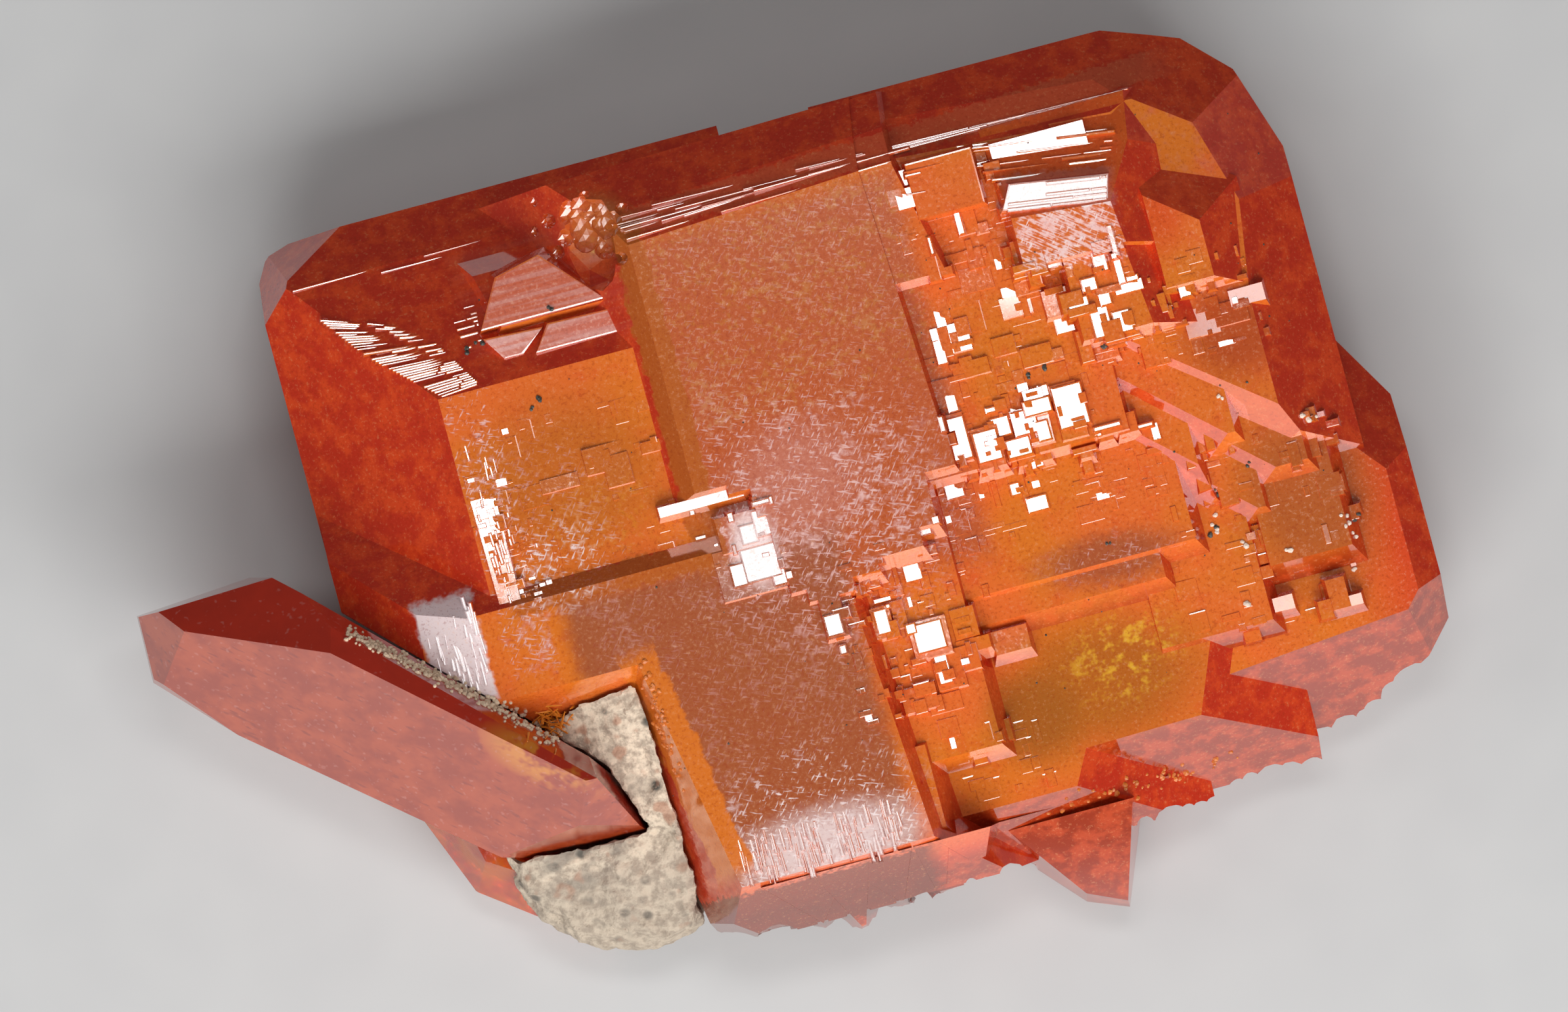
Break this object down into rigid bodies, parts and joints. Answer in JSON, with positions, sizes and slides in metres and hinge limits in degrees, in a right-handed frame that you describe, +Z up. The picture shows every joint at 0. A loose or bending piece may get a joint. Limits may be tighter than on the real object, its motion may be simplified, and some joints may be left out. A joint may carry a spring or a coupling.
{
  "type": "wulfenite crystal specimen",
  "caption": "Thick tabular orange-red crystal with bevelled edges and a stepped face, a long bevelled crystal leaning on it, a small crystal and a lump of matrix rock between them.",
  "frame": {"origin": "middle of the specimen's box, at the height of the flat back that it lies on", "axes": "+X along the main crystal's longer edge, away from the side crystal; +Y along its other edge; +Z up out of the big stepped face"},
  "size_m": [0.0234, 0.0158, 0.0062],
  "materials": {
    "crystal": "adamantine, translucent orange-red",
    "side_crystal": "adamantine, translucent deep red",
    "lower_crystal": "adamantine, clear orange",
    "matrix": "rough, dull"
  },
  "bodies": {
    "root": {"main_crystal": "crystal", "side_crystal": "side_crystal", "lower_crystal": "lower_crystal", "matrix_rock": "matrix"}
  },
  "joints": []
}
